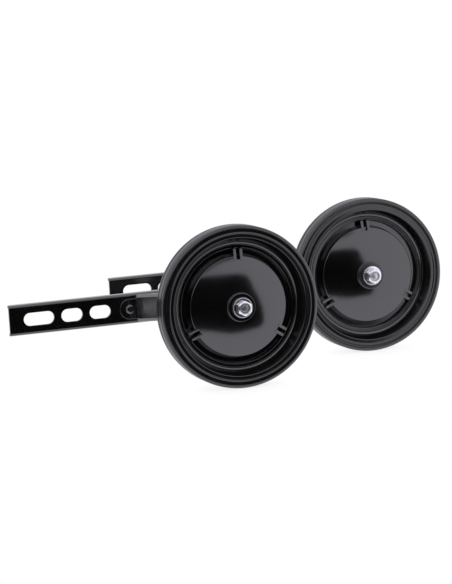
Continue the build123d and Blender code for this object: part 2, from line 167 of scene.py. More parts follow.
def join(bm, other, matrix=None):
    """Adds a finished shape to another one, as a closed shell of its own."""
    if matrix:
        bmesh.ops.transform(other, matrix=matrix, verts=other.verts[:])
    carrier = bpy.data.meshes.new("carrier")
    other.to_mesh(carrier)
    other.free()
    bm.from_mesh(carrier)
    bpy.data.meshes.remove(carrier)
    return bm


def circle_centre(a, b, c):
    """Centre of the circle through three points of a profile."""
    (ax, ay), (bx, by), (cx, cy) = a, b, c
    d = 2 * (ax * (by - cy) + bx * (cy - ay) + cx * (ay - by))
    a2, b2, c2 = ax * ax + ay * ay, bx * bx + by * by, cx * cx + cy * cy
    x = (a2 * (by - cy) + b2 * (cy - ay) + c2 * (ay - by)) / d
    y = (a2 * (cx - bx) + b2 * (ax - cx) + c2 * (bx - ax)) / d
    return x, y


class Profile:
    """A line of edges in the turning plane, grown corner by corner: (distance from the axle, out)."""

    def __init__(self, radius, out, soft=0.0):
        self.bm = bmesh.new()
        self.tip = self.bm.verts.new((radius, -out, 0))
        self.start = self.tip
        self.here = (radius, out)
        self.corners = []
        self.mark(soft)

    def mark(self, soft):
        if soft:
            self.corners.append((self.tip, soft))

    def to(self, radius, out, soft=0.0):
        self.tip = step(self.bm, self.tip, (radius, -out, 0))
        self.here = (radius, out)
        self.mark(soft)
        return self

    def arc(self, middle, end, soft=0.0, steps=8):
        """Turns the tip round the circle through here, middle and end."""
        cx, cy = circle_centre(self.here, middle, end)
        first = math.atan2(self.here[1] - cy, self.here[0] - cx)
        last = math.atan2(end[1] - cy, end[0] - cx)
        halfway = math.atan2(middle[1] - cy, middle[0] - cx)
        sweep = (last - first) % (2 * math.pi)
        if (halfway - first) % (2 * math.pi) > sweep:
            sweep -= 2 * math.pi
        self.tip = swing(self.bm, self.tip, (cx, -cy, 0), (0, 0, 1), -sweep, steps)
        self.here = end
        self.mark(soft)
        return self

    def close(self, segments=3):
        """Joins the ends, rounds the marked corners and leaves a closed line of edges."""
        self.bm.edges.new((self.tip, self.start))
        bmesh.ops.contextual_create(self.bm, geom=self.bm.edges[:])
        for corner, soft in self.corners:
            soften(self.bm, [corner], soft, segments, "VERTICES")
        bmesh.ops.delete(self.bm, geom=self.bm.faces[:], context="FACES_ONLY")
        return self

    def turn(self, steps):
        """Turns the closed line once round the axle."""
        bmesh.ops.spin(
            self.bm, geom=self.bm.verts[:] + self.bm.edges[:], cent=(0, 0, 0), axis=AXLE_LINE,
            angle=2 * math.pi, steps=steps, use_merge=True)
        bmesh.ops.remove_doubles(self.bm, verts=self.bm.verts[:], dist=1e-4)
        bmesh.ops.recalc_face_normals(self.bm, faces=self.bm.faces[:])
        return self.bm

    def plate(self, thickness, soft):
        """Closes the line into a flat rib along the turning plane, with rounded edges."""
        bm = self.bm
        bm.edges.new((self.tip, self.start))
        made = bmesh.ops.contextual_create(bm, geom=bm.edges[:])
        bmesh.ops.translate(bm, vec=(0, 0, -thickness / 2), verts=bm.verts[:])
        grown = bmesh.ops.extrude_face_region(bm, geom=made["faces"])
        bmesh.ops.translate(bm, vec=(0, 0, thickness), verts=points_in(grown["geom"]))
        bmesh.ops.recalc_face_normals(bm, faces=bm.faces[:])
        sharp = [e for e in bm.edges if e.calc_face_angle(0) > math.radians(50)]
        soften(bm, sharp, soft, 2)
        return bm


def hexagon(out, length, flats, top_chamfer=0.0, back_chamfer=0.0):
    """Hexagonal block along the axle, a corner up, its ends chamfered all round."""
    cuts, lean, edge = 36, math.radians(30), 0.12
    bm = bmesh.new()
    bmesh.ops.create_circle(bm, cap_ends=True, segments=6, radius=flats / math.sqrt(3))
    lay = Matrix.Translation((0, -out, 0)) @ Matrix.Rotation(math.radians(90), 4, "X")
    bmesh.ops.transform(bm, matrix=lay, verts=bm.verts[:])
    grown = bmesh.ops.extrude_face_region(bm, geom=bm.faces[:])
    bmesh.ops.translate(bm, vec=(0, -length, 0), verts=points_in(grown["geom"]))
    bmesh.ops.recalc_face_normals(bm, faces=bm.faces[:])
    for chamfer, end, facing in ((top_chamfer, out + length, -1), (back_chamfer, out, 1)):
        if chamfer:
            for cut in range(cuts):
                turn = about_axle(360 * cut / cuts)
                slope = turn @ Vector((math.sin(lean), facing * math.cos(lean), 0))
                trim(bm, turn @ Vector((flats / 2 - chamfer, -end, 0)), slope)
    sharp = [e for e in bm.edges if e.calc_face_angle(0) > math.radians(45)]
    soften(bm, sharp, edge, 2)
    return bm


def thread(radius, start, turns, pitch, depth):
    """Helical ridge round a bolt's end: a small vee carried round and along."""
    steps, width = 20, 0.64 * pitch
    bm = bmesh.new()
    low = bm.verts.new((radius - depth, -start, 0))
    top = bm.verts.new((radius, -start - width / 2, 0))
    high = bm.verts.new((radius - depth, -start - width, 0))
    bm.faces.new((low, top, high))
    bmesh.ops.spin(
        bm, geom=everything(bm), cent=(0, 0, 0), axis=AXLE_LINE, dvec=(0, -pitch / steps, 0),
        angle=2 * math.pi * turns, steps=steps * turns)
    bmesh.ops.recalc_face_normals(bm, faces=bm.faces[:])
    return bm


class Flow:
    """A value in a finish that can be used in plain sums."""

    def __init__(self, paint, socket):
        self.paint = paint
        self.socket = socket

    def combine(self, operation, first, second):
        return self.paint.add("ShaderNodeMath", {"operation": operation}, {0: first, 1: second})

    def __add__(self, other):
        return self.combine("ADD", self, other)

    __radd__ = __add__

    def __mul__(self, other):
        return self.combine("MULTIPLY", self, other)

    __rmul__ = __mul__

    def __sub__(self, other):
        return self.combine("SUBTRACT", self, other)

    def __rsub__(self, other):
        return self.combine("SUBTRACT", other, self)

    def over(self, other):
        """The larger of two values."""
        return self.combine("MAXIMUM", self, other)

    def under(self, other):
        """The smaller of two values."""
        return self.combine("MINIMUM", self, other)


class Paint:
    """The nodes of one finish."""

    def __init__(self, name, owner=None):
        self.owner = owner or bpy.data.materials.new(name)
        self.owner.use_nodes = True
        self.tree = self.owner.node_tree
        self.tree.nodes.clear()

    def add(self, kind, settings=None, sockets=None, out=0):
        """Adds one node: its settings first, then its sockets' values or links."""
        node = self.tree.nodes.new(kind)
        for key, value in (settings or {}).items():
            if key == "stops":
                while len(node.color_ramp.elements) < len(value):
                    node.color_ramp.elements.new(0.5)
                for stop, (place, shade) in zip(node.color_ramp.elements, value):
                    stop.position = place
                    stop.color = (shade, shade, shade, 1)
            else:
                setattr(node, key, value)
        for key, value in (sockets or {}).items():
            socket = node.inputs[key]
            if isinstance(value, Flow):
                self.tree.links.new(value.socket, socket)
            else:
                socket.default_value = value
        return Flow(self, node.outputs[out]) if node.outputs else None

    def coords(self):
        return self.add("ShaderNodeTexCoord", out="Object")

    def cloud(self, scale, detail=3.0, rough=0.55, stretch=None):
        """Soft mottling; stretch draws it out along the axes."""
        place = self.coords()
        if stretch:
            place = self.add(
                "ShaderNodeMapping", {"vector_type": "POINT"}, {"Vector": place, "Scale": stretch})
        sockets = {"Vector": place, "Scale": scale, "Detail": detail, "Roughness": rough}
        return self.add("ShaderNodeTexNoise", {"noise_dimensions": "3D"}, sockets)

    def distance(self, place, point):
        """How far a place on the piece lies from a fixed point."""
        return self.add(
            "ShaderNodeVectorMath", {"operation": "DISTANCE"}, {0: place, 1: point}, out="Value")

    def ray(self, kind):
        """Whether the light comes from a camera, glossy or transmission ray."""
        return self.add("ShaderNodeLightPath", out=f"Is {kind} Ray")

    def ramp(self, value, *stops):
        return self.add("ShaderNodeValToRGB", {"stops": stops}, {"Fac": value})

    def mix(self, share, first, second):
        """Colour between two colours."""
        settings = {"data_type": "RGBA", "blend_type": "MIX"}
        return self.add("ShaderNodeMix", settings, {0: share, 6: first, 7: second}, out=2)

    def bump(self, height, strength, distance, before=None):
        sockets = {"Height": height, "Strength": strength, "Distance": distance}
        if before:
            sockets["Normal"] = before
        return self.add("ShaderNodeBump", None, sockets)

    def surface(self, **sockets):
        """The finished shader of a piece."""
        named = {key.replace("_", " "): value for key, value in sockets.items()}
        return self.show(self.add("ShaderNodeBsdfPrincipled", None, named))

    def show(self, shader, kind="ShaderNodeOutputMaterial"):
        """Makes a shader the one that is seen, and returns what it is painted on."""
        self.add(kind, None, {"Surface": shader})
        return self.owner


def wheel_middle(unit):
    """Middle of a unit's tyre, in metres."""
    low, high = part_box(f"{unit}_tyre")
    return (Vector(low) + Vector(high)) / 2


def grey(level, warm=0.0):
    return (level * (1 + warm), level, level * (1 - warm), 1)


# Mirror share of the black finishes, and where the tyre begins to be dull and is fully dull, in metres
SHINE = 0.98
DULL_START, DULL_FULL = (TYRE_R - 1.5) * MM, (TYRE_R - 0.8) * MM


def gloss_plastic():
    """Moulded black plastic: a slightly wavy high gloss with faint rub marks."""
    paint = Paint("gloss_black_plastic")
    flow = paint.ramp(paint.cloud(55, 2.0), (0.3, 0.0), (0.7, 1.0))
    rubbed = paint.ramp(paint.cloud(420, 4.0, 0.65, (1.0, 0.25, 1.0)), (0.55, 0.0), (0.8, 1.0))
    colour = paint.mix(flow, grey(0.0026, -0.06), grey(0.0044, -0.05))
    rough = 0.12 + flow * 0.03 + rubbed * 0.03
    skin = paint.bump(paint.cloud(70, 1.0), 0.05, 0.0006)
    fine = paint.bump(paint.cloud(1500, 2.0), 0.02, 0.00005, skin)
    return paint.surface(
        Base_Color=colour, Roughness=rough, IOR=1.56, Specular_IOR_Level=SHINE, Normal=fine)


def satin_rubber():
    """Black rubber: satin, with mould bloom and a fine grain, duller on the tread."""
    paint = Paint("satin_black_rubber")
    bloom = paint.ramp(paint.cloud(90, 5.0, 0.6), (0.35, 0.0), (0.75, 1.0))
    speck = paint.ramp(paint.cloud(2600, 2.0), (0.62, 0.0), (0.72, 1.0))
    colour = paint.mix(bloom, grey(0.0030, -0.03), grey(0.0052, -0.02))
    colour = paint.mix(speck * 0.35, colour, grey(0.014))
    flat = paint.add("ShaderNodeVectorMath", {"operation": "MULTIPLY"}, {0: paint.coords(), 1: (1, 0, 1)})
    front, rear = (paint.distance(flat, (wheel_middle(unit).x, 0, 0)) for unit in ("front", "rear"))
    tread = paint.ramp(front.under(rear), (DULL_START, 0.0), (DULL_FULL, 1.0))
    rough = 0.16 + bloom * 0.03 + speck * 0.03 + tread * 0.3
    grain = paint.bump(paint.cloud(1900, 2.0, 0.5), 0.012, 0.0001)
    return paint.surface(
        Base_Color=colour, Roughness=rough, IOR=1.45, Specular_IOR_Level=SHINE, Normal=grain)


def black_enamel(name, base_rough, peel, index):
    """Stoved black enamel on steel: deep gloss over a fine orange peel."""
    paint = Paint(name)
    cloud = paint.ramp(paint.cloud(60, 3.0), (0.35, 0.0), (0.7, 1.0))
    dust = paint.ramp(paint.cloud(3200, 2.0), (0.68, 0.0), (0.76, 1.0))
    colour = paint.mix(cloud, grey(0.0030, -0.04), grey(0.0050, -0.03))
    colour = paint.mix(dust * 0.3, colour, grey(0.02))
    rough = base_rough + cloud * 0.05 + dust * 0.1
    orange = paint.bump(paint.cloud(320, 2.0, 0.5), peel, 0.00025)
    return paint.surface(
        Base_Color=colour, Roughness=rough, IOR=index, Specular_IOR_Level=SHINE, Normal=orange)


def black_coated_steel():
    """Black coated bolt: satin with worn, slightly bare high spots."""
    paint = Paint("black_coated_steel")
    worn = paint.ramp(paint.cloud(700, 4.0, 0.6), (0.6, 0.0), (0.85, 1.0))
    colour = paint.mix(worn, grey(0.006), grey(0.035))
    rough = 0.2 + worn * 0.15
    skin = paint.bump(paint.cloud(900, 2.0), 0.06, 0.0001)
    return paint.surface(
        Base_Color=colour, Roughness=rough, IOR=1.6, Specular_IOR_Level=SHINE, Normal=skin)


def plated(name, light, dark, base_rough, tint):
    """Zinc plating: bright metal with a faint blue and yellow passivation."""
    paint = Paint(name)
    cast = paint.ramp(paint.cloud(260, 3.0), (0.3, 0.0), (0.7, 1.0))
    spots = paint.ramp(paint.cloud(1300, 3.0, 0.6), (0.55, 0.0), (0.8, 1.0))
    colour = paint.mix(cast, light, dark)
    colour = paint.mix(spots * 0.5, colour, tint)
    rough = base_rough + cast * 0.05 + spots * 0.08
    drawn = paint.bump(paint.cloud(900, 3.0, 0.6, (1.0, 0.12, 1.0)), 0.05, 0.0001)
    return paint.surface(Base_Color=colour, Roughness=rough, Metallic=1.0, Normal=drawn)


def turned_steel():
    """Turned steel: fine rings round the axle and a little staining."""
    paint = Paint("turned_steel")
    rings = paint.cloud(160, 4.0, 0.7, (0.3, 22.0, 0.3))
    stain = paint.ramp(paint.cloud(180, 3.0), (0.4, 0.0), (0.75, 1.0))
    colour = paint.mix(stain, grey(0.50, -0.015), grey(0.36, 0.03))
    rough = 0.28 + stain * 0.12
    return paint.surface(
        Base_Color=colour, Roughness=rough, Metallic=1.0, Normal=paint.bump(rings, 0.18, 0.00015))


def bush_nylon():
    """Dark moulded nylon of the hub bushes."""
    paint = Paint("bush_nylon")
    cloud = paint.cloud(400, 3.0)
    colour = paint.mix(cloud, grey(0.006), grey(0.011))
    return paint.surface(
        Base_Color=colour, Roughness=0.22 + cloud * 0.12, IOR=1.53, Specular_IOR_Level=SHINE,
        Normal=paint.bump(paint.cloud(1800, 2.0), 0.08, 0.0001))


FINISHES = {
    "disc_plastic": gloss_plastic(),
    "tyre_rubber": satin_rubber(),
    "arm_paint": black_enamel("arm_enamel", 0.10, 0.05, 1.56),
    "brace_paint": black_enamel("brace_enamel", 0.05, 0.02, 1.75),
    "black_steel": black_coated_steel(),
    "bright_zinc": plated("bright_zinc", grey(0.88, -0.03), grey(0.74, -0.04), 0.18, grey(0.8)),
    "zinc_steel": plated("zinc_plate", grey(0.66, -0.01), grey(0.52, 0.015), 0.25, grey(0.6, 0.06)),
    "plain_steel": turned_steel(),
    "bush_plastic": bush_nylon(),
}


def hand_over(bm, name, place, slot, body, node, sharp=32, sheet=0.0, edge=0.0):
    """Places a finished shape in the frame as one piece and gives it its finish and its body."""
    bmesh.ops.translate(bm, vec=place, verts=bm.verts[:])
    bmesh.ops.scale(bm, vec=(MM, MM, MM), verts=bm.verts[:])
    for face in bm.faces:
        face.smooth = True
    for line in bm.edges:
        line.smooth = line.calc_face_angle(0) < math.radians(sharp)
    mesh = bpy.data.meshes.new(name)
    bm.to_mesh(mesh)
    bm.free()
    mesh.materials.append(FINISHES[slot])
    piece = bpy.data.objects.new(name, mesh)
    bpy.context.scene.collection.objects.link(piece)
    if sheet:
        wall = piece.modifiers.new("wall", "SOLIDIFY")
        wall.thickness = sheet * MM
        wall.offset = -1
        wall.use_even_offset = True
    if edge:
        soft = piece.modifiers.new("soft_edge", "BEVEL")
        soft.width = edge * MM
        soft.segments = 2
        soft.limit_method = "ANGLE"
        soft.angle_limit = math.radians(40)
        soft.use_clamp_overlap = False
        soft.harden_normals = False
    even = piece.modifiers.new("even_shade", "WEIGHTED_NORMAL")
    even.keep_sharp = True
    even.weight = 80
    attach(piece, body)
    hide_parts(node)


def tyre_shape():
    """Rubber ring: a full sidewall with one narrow ridge, a round shoulder and a grooved tread."""
    seat, lock = SEAT + TYRE_FIT, SEAT + LOCK_RIB + TYRE_FIT
    lock_back, lock_front = LOCK_BACK - TYRE_FIT, LOCK_FRONT + TYRE_FIT
    groove = [
        (TYRE_R, TREAD_GROOVE_FAR), (TYRE_R - TREAD_DEPTH, TREAD_GROOVE_FAR),
        (TYRE_R - TREAD_DEPTH, TREAD_GROOVE_NEAR), (TYRE_R, TREAD_GROOVE_NEAR)]
    line = Profile(seat, lock_back)
    line.to(lock, lock_back, 0.2).to(lock, lock_front, 0.2).to(seat, lock_front).to(seat, RIM_LIP, 0.2)
    for radius, out, soft in SIDEWALL:
        line.to(radius, out, soft)
    line.to(*SHOULDER_START).arc(SHOULDER_MIDDLE, (TYRE_R, TREAD_EDGE), steps=12)
    for side in (1, -1):
        for radius, out in groove[::side]:
            line.to(radius, side * out, 0.2)
    (start_radius, start_out), (middle_radius, middle_out) = SHOULDER_START, SHOULDER_MIDDLE
    line.to(TYRE_R, -TREAD_EDGE).arc((middle_radius, -middle_out), (start_radius, -start_out), steps=12)
    for radius, out, soft in SIDEWALL[::-1]:
        line.to(radius, -out, soft)
    line.to(seat, DISC_BACK, 0.2)
    return line.close().turn(144)


def dome_out(radius, depth=0.0):
    """How far out the dome lies at a radius, or the sphere a depth below it."""
    return DOME_CENTRE + math.sqrt((DOME_RADIUS - depth) ** 2 - radius**2)


def dome_roll():
    """Start, middle and end of the arc that rolls the dome's edge over into the groove's wall."""
    edge, sphere = Vector((DOME_EDGE, DOME_EDGE_OUT)), Vector((0, DOME_CENTRE))
    wall = (Vector((GROOVE_IN, GROOVE_FLOOR)) - edge).normalized()
    outward = Vector((-wall.y, wall.x))
    inset = edge - outward * DOME_ROLL
    back = (inset - sphere).dot(wall)
    aside = (inset - sphere).dot(outward)
    along = -back - math.sqrt((DOME_RADIUS - DOME_ROLL) ** 2 - aside**2)
    centre = inset + wall * along
    upward = (centre - sphere).normalized()
    return [tuple(centre + way * DOME_ROLL) for way in (upward, (upward + outward).normalized(), outward)]


def notch_rib():
    """Thin rib across the groove; its top stands a little proud of the dome and keeps the dome's slope."""
    top, floor = dome_out(NOTCH_START) + NOTCH_RISE, GROOVE_FLOOR - NOTCH_ROOT
    fall = (NOTCH_END - NOTCH_START) * math.tan(math.asin(NOTCH_START / DOME_RADIUS))
    line = Profile(NOTCH_START, top)
    line.to(NOTCH_END, top - fall).to(NOTCH_END, floor).to(NOTCH_START, floor)
    return line.plate(NOTCH_RIB, 0.2)


def back_rib():
    """Radial rib behind the dome, from the hub to the rim."""
    inner, outer, depth = (HUB_BORE + BOSS) / 2, BACK_RIB_END, DISC_WALL / 2
    middle = (inner + outer) / 2
    line = Profile(inner, dome_out(inner, depth))
    line.arc((middle, dome_out(middle, depth)), (outer, dome_out(outer, depth)), steps=10)
    line.to(outer, DISC_BACK).to(inner, DISC_BACK)
    return line.plate(BACK_RIB, 0.25)


def notch_slot(bm):
    """Sinks a flat pocket into the dome's upper edge, open to the groove."""
    half, floor = NOTCH_STEP / 2, dome_out(NOTCH_SLOT) - NOTCH_DEPTH

    def facing_out(reach, low):
        """Outboard faces within reach of the pocket's outline and further out than low."""
        chosen = []
        for face in bm.faces:
            middle = face.calc_center_median()
            beside = abs(middle.x) < half + reach
            along = NOTCH_SLOT - reach < middle.z < GROOVE_IN + 0.1
            if face.normal.y < -0.05 and beside and along and -middle.y > low:
                chosen.append(face)
        return chosen

    for place, slope in (
            ((half, 0, 0), (1, 0, 0)), ((-half, 0, 0), (1, 0, 0)), ((0, 0, NOTCH_SLOT), (0, 0, 1)),
            ((0, -floor, 0), (0, 1, 0))):
        faces = facing_out(4.0, GROOVE_FLOOR)
        lines = dict.fromkeys(e for f in faces for e in f.edges)
        points = dict.fromkeys(v for f in faces for v in f.verts)
        bmesh.ops.bisect_plane(
            bm, geom=faces + list(lines) + list(points), dist=1e-4, plane_co=place, plane_no=slope)
    lid = facing_out(0.0, floor)
    grown = bmesh.ops.extrude_face_region(bm, geom=lid)
    bmesh.ops.delete(bm, geom=[face for face in lid if face.is_valid], context="FACES_ONLY")
    for point in points_in(grown["geom"]):
        point.co.y = -floor
    bmesh.ops.remove_doubles(bm, verts=bm.verts[:], dist=1e-3)


def disc_shape(wheel_turn):
    """Moulded disc: hub boss, dome, deep groove with ribs and pockets, stepped rim, and the tyre's seat."""
    roll_start, roll_middle, roll_end = dome_roll()
    middle, back = (BOSS + roll_start[0]) / 2, GROOVE_IN - DISC_WALL
    mid_back, lock = (BOSS + back) / 2, SEAT + LOCK_RIB
    line = Profile(HUB_BORE, HUB_FRONT, 0.25)
    line.to(BOSS, HUB_FRONT, 0.4).to(BOSS, dome_out(BOSS), 0.4)
    line.arc((middle, dome_out(middle)), roll_start, steps=20).arc(roll_middle, roll_end)
    line.to(GROOVE_IN, GROOVE_FLOOR, 0.4).to(GROOVE_OUT, GROOVE_FLOOR, 0.5)
    line.to(RIM_IN, RIM_FACE, 0.45).to(*RIM_STEP, 0.2)
    line.arc(RIM_RISE, (SEAT, RIM_LIP), 0.1, 10)
    line.to(SEAT, LOCK_FRONT).to(lock, LOCK_FRONT, 0.2).to(lock, LOCK_BACK, 0.2).to(SEAT, LOCK_BACK)
    line.to(SEAT, DISC_BACK, 0.3).to(back, DISC_BACK, 0.3).to(back, dome_out(back, DISC_WALL), 0.4)
    line.arc((mid_back, dome_out(mid_back, DISC_WALL)), (BOSS, dome_out(BOSS, DISC_WALL)), 0.5, 16)
    line.to(BOSS, -HUB_BACK, 0.4).to(HUB_BORE, -HUB_BACK, 0.25)
    bm = line.close(4).turn(144)
    pair_angle = 360 / NOTCH_PAIRS
    for pair in range(NOTCH_PAIRS):
        notch_slot(bm)
        bmesh.ops.transform(bm, matrix=about_axle(pair_angle), verts=bm.verts[:])
    for pair in range(NOTCH_PAIRS):
        for side in (-NOTCH_STEP / 2, NOTCH_STEP / 2):
            beside = Matrix.Translation((side, 0, 0)) @ about_axle(-90)
            join(bm, notch_rib(), about_axle(pair_angle * pair) @ beside)
    for rib in range(BACK_RIBS):
        join(bm, back_rib(), about_axle(360 / BACK_RIBS * rib))
    bmesh.ops.transform(bm, matrix=about_axle(wheel_turn), verts=bm.verts[:])
    return bm


def bush_shape(side):
    """Flanged bush in one end of the hub."""
    face = HUB_FRONT if side > 0 else -HUB_BACK
    flange = face + side * BUSH_FLANGE
    inside = face - side * BUSH_LENGTH
    line = Profile(BUSH_BORE, flange, 0.3)
    line.to(BUSH_FLANGE_R, flange, 0.3).to(BUSH_FLANGE_R, face, 0.1)
    line.to(BUSH_R, face).to(BUSH_R, inside).to(BUSH_BORE, inside)
    return line.close().turn(64)


def tube_shape(out, length, outer, inner, soft=0.3):
    """Plain tube along the axle with broken edges."""
    line = Profile(inner, out, soft * 0.5)
    line.to(outer, out, soft).to(outer, out + length, soft).to(inner, out + length, soft * 0.5)
    return line.close().turn(56)


def flange_nut_shape():
    """Hexagon nut with a flat flange and a dished top round the bolt's end."""
    bm = hexagon(NUT_OUT + NUT_FOOT, NUT_HEIGHT - NUT_FOOT, NUT_FLATS, top_chamfer=0.65)
    top = max(bm.faces, key=lambda face: -face.calc_center_median().y)
    bmesh.ops.inset_region(bm, faces=[top], thickness=NUT_LIP, use_even_offset=True)
    bmesh.ops.inset_region(bm, faces=[top], thickness=NUT_DISH_RUN, depth=-NUT_DISH, use_even_offset=True)
    flange_top = NUT_OUT + NUT_FLANGE
    line = Profile(AXLE_R, NUT_OUT)
    line.to(NUT_FLANGE_R, NUT_OUT, 0.15).to(NUT_FLANGE_R, NUT_OUT + NUT_FLANGE_EDGE, 0.35)
    line.to(NUT_FLATS / 2, flange_top, 0.2).to(AXLE_R, flange_top)
    return join(bm, line.close().turn(64))


def axle_bolt_shape():
    """Flanged hexagon head inside the channel, the shank, and the threaded end in the nut."""
    flange = -ARM_SHEET - AXLE_FLANGE
    bm = hexagon(-ARM_SHEET - AXLE_HEAD, AXLE_HEAD, AXLE_FLATS, back_chamfer=0.3)
    line = Profile(0.0, flange)
    line.to(AXLE_FLANGE_R, flange, 0.2).to(AXLE_FLANGE_R, -ARM_SHEET, 0.2).to(AXLE_R, -ARM_SHEET)
    line.to(AXLE_R, CLAMP_OUT).to(AXLE_ROOT, CLAMP_OUT + AXLE_STEP)
    line.to(AXLE_ROOT, AXLE_END - AXLE_CHAMFER).to(AXLE_TIP_R, AXLE_END, 0.1).to(0.0, AXLE_END)
    join(bm, line.close().turn(48))
    return join(bm, thread(AXLE_R, AXLE_END - END_THREAD, AXLE_TURNS, AXLE_PITCH, AXLE_VEE))


def plain_nut_shape(out, length, flats, bore):
    """Hexagon nut with both ends chamfered and a countersunk bore."""
    chamfer, sink = 0.25, 0.4
    bm = hexagon(out, length, flats, top_chamfer=chamfer, back_chamfer=chamfer)
    land = flats / 2 - chamfer - bore - sink
    for facing in (-1, 1):
        end = max(bm.faces, key=lambda face: facing * face.calc_center_median().y)
        bmesh.ops.inset_region(bm, faces=[end], thickness=land, use_even_offset=True)
        bmesh.ops.inset_region(bm, faces=[end], thickness=sink, depth=-sink, use_even_offset=True)
    return bm


def brace_bolt_shape():
    """Round head with a flat top on the brace, and a threaded shank through the arm."""
    low, top, shank_top = BRACE_SHEET - 0.2, BRACE_SHEET + BOLT_HEAD, BRACE_SHEET - 0.1
    tip, root = -ARM_SHEET - BOLT_NUT - BOLT_TIP, BOLT_R - BOLT_VEE
    round_radius, round_rise = BOLT_ROUND
    line = Profile(0.0, low).to(BOLT_HEAD_R, low).to(BOLT_HEAD_R, BRACE_SHEET + BOLT_HEAD_SIDE)
    line.arc((round_radius, BRACE_SHEET + round_rise), (BOLT_FLAT_R, top), steps=10).to(0.0, top)
    bm = line.close().turn(56)
    shank = Profile(0.0, tip).to(root - 0.2, tip).to(root, tip + 0.3).to(root, shank_top)
    join(bm, shank.to(0.0, shank_top).close().turn(32))
    return join(bm, thread(BOLT_R, tip + 0.1, BOLT_TURNS, BOLT_PITCH, BOLT_VEE))


def cut_slot(bm, centre, length):
    """Outline of a round-ended slot: a point turned round each end."""
    reach, half = (length - SLOT_WIDTH) / 2, SLOT_WIDTH / 2
    first = bm.verts.new((centre + reach, 0, -half))
    tip = swing(bm, first, (centre + reach, 0, 0), AXLE_LINE, -math.pi, 18)
    tip = step(bm, tip, (centre - reach, 0, half))
    tip = swing(bm, tip, (centre - reach, 0, 0), AXLE_LINE, -math.pi, 18)
    bm.edges.new((tip, first))


def cut_hole(bm, place, radius):
    """Outline of a round hole in a sheet."""
    ring = bmesh.ops.create_circle(bm, segments=32, radius=radius)["verts"]
    lay = Matrix.Translation(place) @ Matrix.Rotation(math.radians(90), 4, "X")
    bmesh.ops.transform(bm, matrix=lay, verts=ring)


def fold(bm, side, half, bend, depth, span, place=(0, 0, 0), slope=0.0):
    """Folds the sheet's long edge on one side, within a span of x, round a bend and draws out the flange."""
    along = Vector((math.cos(slope), -math.sin(slope), 0))
    inboard = Vector((math.sin(slope), math.cos(slope), 0))

    def on_edge(v):
        return abs(v.co.z - side * half) < 1e-3 and span[0] < v.co.x < span[1]

    line = [e for e in bm.edges if e.is_boundary and all(on_edge(v) for v in e.verts)]
    geom = line + list(dict.fromkeys(v for e in line for v in e.verts))
    centre = Vector(place) + inboard * bend + Vector((0, 0, side * half))
    made = bmesh.ops.spin(bm, geom=geom, cent=centre, axis=along, angle=-side * math.pi / 2, steps=8)
    grown = bmesh.ops.extrude_edge_only(bm, edges=edges_in(made["geom_last"]))
    bmesh.ops.translate(bm, vec=inboard * (depth - bend), verts=points_in(grown["geom"]))


def face_outwards(bm):
    """Turns an open sheet's faces so that its web looks outboard."""
    bmesh.ops.remove_doubles(bm, verts=bm.verts[:], dist=1e-3)
    bmesh.ops.recalc_face_normals(bm, faces=bm.faces[:])
    web = max(bm.faces, key=lambda face: face.calc_area())
    if web.normal.y > 0:
        bmesh.ops.reverse_faces(bm, faces=bm.faces[:])


def arm_shape():
    """Arm as a folded sheet: the slotted web, two bends and two flanges."""
    bm = bmesh.new()
    half = ARM_WIDTH / 2 - ARM_BEND
    first = bm.verts.new((0, 0, -half))
    tip = first
    for x, z in ((ARM_LENGTH, -half), (ARM_LENGTH, half), (0, half)):
        tip = step(bm, tip, (x, 0, z))
    bm.edges.new((tip, first))
    for centre, length in ((LONG_X, LONG_SLOT), (NEAR_X, SHORT_SLOT), (FAR_X, SHORT_SLOT)):
        cut_slot(bm, centre, length)
    for setting in (0.0, SETTING):
        cut_hole(bm, (BOLT_X + setting, 0, 0), BOLT_HOLE)
        cut_hole(bm, (AXLE_X + setting, 0, 0), AXLE_HOLE)
    bmesh.ops.triangle_fill(bm, use_beauty=True, edges=bm.edges[:], normal=(0, -1, 0))
    for side in (-1, 1):
        fold(bm, side, half, ARM_BEND, ARM_DEPTH, (-1, ARM_LENGTH + 1))
    tips = [v for v in bm.verts if v.co.y > ARM_DEPTH - 0.01]
    soften(bm, tips, ARM_CORNER, 6, "VERTICES")
    face_outwards(bm)
    return bm


